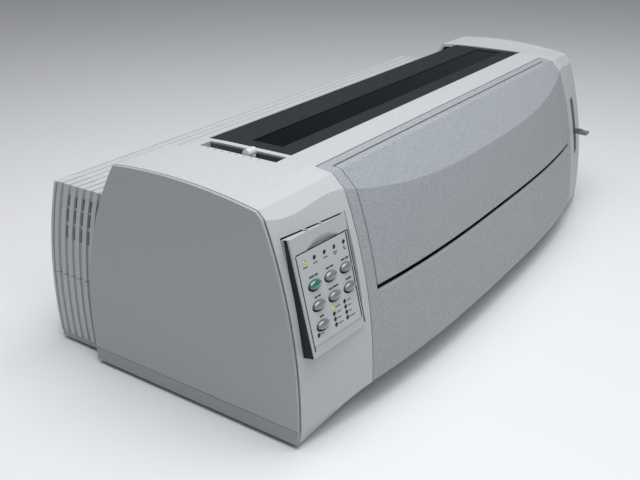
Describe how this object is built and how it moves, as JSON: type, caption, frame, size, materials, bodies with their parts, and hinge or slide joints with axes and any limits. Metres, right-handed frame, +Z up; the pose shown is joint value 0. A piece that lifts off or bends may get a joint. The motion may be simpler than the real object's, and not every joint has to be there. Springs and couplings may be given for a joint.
{
  "type": "wide-carriage dot matrix printer",
  "caption": "Wide-carriage dot matrix printer with bowed front, hinged front door, smoked access cover, operator panel, platen, sliding print carriage and forms tractors.",
  "frame": {"origin": "on the desk, under the middle of the casing", "axes": "+X to the right of a person facing the printer, +Y from front to rear, +Z up"},
  "size_m": [0.592, 0.2941, 0.1907],
  "materials": {
    "casing": "fine grained matt",
    "side_panels": "fine grained matt",
    "door_plastic": "coarse grained matt",
    "base_plastic": "matt",
    "foot_rubber": "matt",
    "pin_steel": "satin",
    "cover_slate": "textured",
    "smoked_window": "smoked, glossy",
    "guide_plastic": "matt",
    "panel_plastic": "satin",
    "circuit_board": "satin",
    "lamp_lit": "glossy",
    "lamp_dark": "glossy",
    "button_teal": "glossy",
    "button_grey": "glossy",
    "lever_light": "satin",
    "lever_grey": "satin",
    "plated_sheet": "plated",
    "platen_rubber": "ground matt",
    "shaft_steel": "ground",
    "gear_nylon": "satin",
    "pinion_brass": "satin",
    "carriage_plastic": "satin",
    "head_metal": "dull",
    "ribbon_black": "matt",
    "knob_grey": "matt",
    "belt_black": "matt",
    "motor_black": "satin",
    "tractor_plastic": "satin",
    "supply_metal": "dull",
    "inlet_black": "satin"
  },
  "bodies": {
    "printer": {"base_pan": "base_plastic", "feet": "foot_rubber", "left_end_block": "casing", "right_end_block": "casing", "top_bar": "casing", "left_side_panel": "side_panels", "right_side_panel": "side_panels", "front_frame": "casing", "rear_cover": "casing", "rear_panel": "casing", "exit_guide": "guide_plastic", "operator_panel": "panel_plastic", "lit_lamps": "lamp_lit", "dark_lamps": "lamp_dark", "left_frame_plate": "plated_sheet", "right_frame_plate": "plated_sheet", "carriage_rail": "plated_sheet", "paper_guide": "base_plastic", "shaft_bushes": "gear_nylon", "carriage_rod": "shaft_steel", "carriage_belt": "belt_black", "carriage_motor": "motor_black", "feed_motor": "motor_black", "tractor_rod": "shaft_steel", "circuit_boards": "circuit_board", "power_supply": "supply_metal", "power_inlet": "inlet_black", "screws": "pin_steel"},
    "front_door": {"front_door": "door_plastic"},
    "access_cover": {"access_cover": "cover_slate", "cover_window": "smoked_window"},
    "start_button": {"start_button": "button_teal"},
    "line_button": {"line_button": "button_grey"},
    "form_button": {"form_button": "button_grey"},
    "tear_button": {"tear_button": "button_grey"},
    "load_button": {"load_button": "button_grey"},
    "tractor_button": {"tractor_button": "button_grey"},
    "setup_button": {"setup_button": "button_grey"},
    "thickness_lever": {"thickness_lever": "lever_light"},
    "select_lever": {"select_lever": "lever_grey"},
    "platen": {"platen": "platen_rubber", "platen_shaft": "shaft_steel", "platen_gear": "gear_nylon"},
    "idler_gear": {"idler_gear": "gear_nylon"},
    "tractor_drive": {"tractor_shaft": "shaft_steel", "tractor_gear": "gear_nylon"},
    "feed_pinion": {"feed_pinion": "pinion_brass"},
    "carriage": {"carriage": "carriage_plastic", "print_head": "head_metal", "ribbon_cartridge": "ribbon_black"},
    "ribbon_knob": {"ribbon_knob": "knob_grey"},
    "drive_pulley": {"drive_pulley": "gear_nylon"},
    "idler_pulley": {"idler_pulley": "gear_nylon"},
    "left_tractor": {"left_tractor": "tractor_plastic"},
    "right_tractor": {"right_tractor": "tractor_plastic"},
    "left_tractor_lid": {"left_tractor_lid": "tractor_plastic"},
    "right_tractor_lid": {"right_tractor_lid": "tractor_plastic"},
    "paper_bail": {"paper_bail": "shaft_steel"},
    "bail_rollers": {"bail_rollers": "platen_rubber"},
    "power_switch": {"power_switch": "inlet_black"}
  },
  "joints": [
    {"name": "front_door_hinge", "type": "hinge", "parent": "printer", "child": "front_door", "pos_m": [0, -0.093, 0.1823], "axis": [-1, 0, 0], "range_deg": [0, 80]},
    {"name": "access_cover_hinge", "type": "hinge", "parent": "printer", "child": "access_cover", "pos_m": [0, 0.0246, 0.1827], "axis": [-1, 0, 0], "range_deg": [0, 80]},
    {"name": "start_button_press", "type": "slide", "parent": "printer", "child": "start_button", "axis": [0.071, 0.9664, -0.247], "range_m": [0, 0.0015], "stiffness_N_per_m": 300, "springref_m": -0.0005},
    {"name": "line_button_press", "type": "slide", "parent": "printer", "child": "line_button", "axis": [0.071, 0.9664, -0.247], "range_m": [0, 0.0015], "stiffness_N_per_m": 300, "springref_m": -0.0005},
    {"name": "form_button_press", "type": "slide", "parent": "printer", "child": "form_button", "axis": [0.071, 0.9664, -0.247], "range_m": [0, 0.0015], "stiffness_N_per_m": 300, "springref_m": -0.0005},
    {"name": "tear_button_press", "type": "slide", "parent": "printer", "child": "tear_button", "axis": [0.071, 0.9664, -0.247], "range_m": [0, 0.0015], "stiffness_N_per_m": 300, "springref_m": -0.0005},
    {"name": "load_button_press", "type": "slide", "parent": "printer", "child": "load_button", "axis": [0.071, 0.9664, -0.247], "range_m": [0, 0.0015], "stiffness_N_per_m": 300, "springref_m": -0.0005},
    {"name": "tractor_button_press", "type": "slide", "parent": "printer", "child": "tractor_button", "axis": [0.071, 0.9664, -0.247], "range_m": [0, 0.0015], "stiffness_N_per_m": 300, "springref_m": -0.0005},
    {"name": "setup_button_press", "type": "slide", "parent": "printer", "child": "setup_button", "axis": [0.071, 0.9664, -0.247], "range_m": [0, 0.0015], "stiffness_N_per_m": 300, "springref_m": -0.0005},
    {"name": "thickness_lever_turn", "type": "hinge", "parent": "printer", "child": "thickness_lever", "pos_m": [-0.2225, -0.018, 0.128], "axis": [-1, 0, 0], "range_deg": [-24, 38]},
    {"name": "select_lever_turn", "type": "hinge", "parent": "printer", "child": "select_lever", "pos_m": [0.25, -0.06, 0.104], "axis": [-1, 0, 0], "range_deg": [-10, 22]},
    {"name": "platen_spin", "type": "hinge", "parent": "printer", "child": "platen", "pos_m": [0, 0.002, 0.108], "axis": [1, 0, 0], "continuous": true},
    {"name": "idler_gear_spin", "type": "hinge", "parent": "printer", "child": "idler_gear", "pos_m": [0.223, 0.03765, 0.10299], "axis": [1, 0, 0], "continuous": true},
    {"name": "tractor_drive_spin", "type": "hinge", "parent": "printer", "child": "tractor_drive", "pos_m": [0, 0.07363, 0.10173], "axis": [1, 0, 0], "continuous": true},
    {"name": "feed_pinion_spin", "type": "hinge", "parent": "printer", "child": "feed_pinion", "pos_m": [0.223, 0.03765, 0.07599], "axis": [1, 0, 0], "continuous": true},
    {"name": "carriage_slide", "type": "slide", "parent": "printer", "child": "carriage", "axis": [1, 0, 0], "range_m": [-0.02, 0.32]},
    {"name": "drive_pulley_spin", "type": "hinge", "parent": "printer", "child": "drive_pulley", "pos_m": [-0.205, -0.062, 0.068], "axis": [0, 0, 1], "range_deg": [-2300, 150]},
    {"name": "idler_pulley_spin", "type": "hinge", "parent": "printer", "child": "idler_pulley", "pos_m": [0.205, -0.062, 0.068], "axis": [0, 0, 1], "range_deg": [-2300, 150]},
    {"name": "ribbon_knob_spin", "type": "hinge", "parent": "carriage", "child": "ribbon_knob", "pos_m": [-0.11, -0.0773, 0.113], "axis": [0, 0, 1], "continuous": true},
    {"name": "left_tractor_slide", "type": "slide", "parent": "printer", "child": "left_tractor", "axis": [1, 0, 0], "range_m": [-0.02, 0.12]},
    {"name": "right_tractor_slide", "type": "slide", "parent": "printer", "child": "right_tractor", "axis": [1, 0, 0], "range_m": [-0.12, 0.015]},
    {"name": "left_tractor_lid_hinge", "type": "hinge", "parent": "left_tractor", "child": "left_tractor_lid", "pos_m": [-0.195, 0.0916, 0.11713], "axis": [0, -1, 0], "range_deg": [0, 100]},
    {"name": "right_tractor_lid_hinge", "type": "hinge", "parent": "right_tractor", "child": "right_tractor_lid", "pos_m": [0.195, 0.0916, 0.11713], "axis": [0, 1, 0], "range_deg": [0, 100]},
    {"name": "paper_bail_swing", "type": "hinge", "parent": "printer", "child": "paper_bail", "pos_m": [0, 0.024, 0.118], "axis": [-1, 0, 0], "range_deg": [0, 28]},
    {"name": "bail_roller_spin", "type": "hinge", "parent": "paper_bail", "child": "bail_rollers", "pos_m": [0, -0.00403, 0.13051], "axis": [1, 0, 0], "continuous": true},
    {"name": "power_switch_rock", "type": "hinge", "parent": "printer", "child": "power_switch", "pos_m": [-0.1945, 0.13825, 0.037], "axis": [1, 0, 0], "range_deg": [0, 12]}
  ],
  "couplings": [
    {"joint": "idler_gear_spin", "follows": "platen_spin", "ratio": -1},
    {"joint": "tractor_drive_spin", "follows": "platen_spin", "ratio": 1},
    {"joint": "feed_pinion_spin", "follows": "platen_spin", "ratio": 2},
    {"joint": "drive_pulley_spin", "follows": "carriage_slide", "rad_per_m": -125},
    {"joint": "idler_pulley_spin", "follows": "carriage_slide", "rad_per_m": -125}
  ]
}
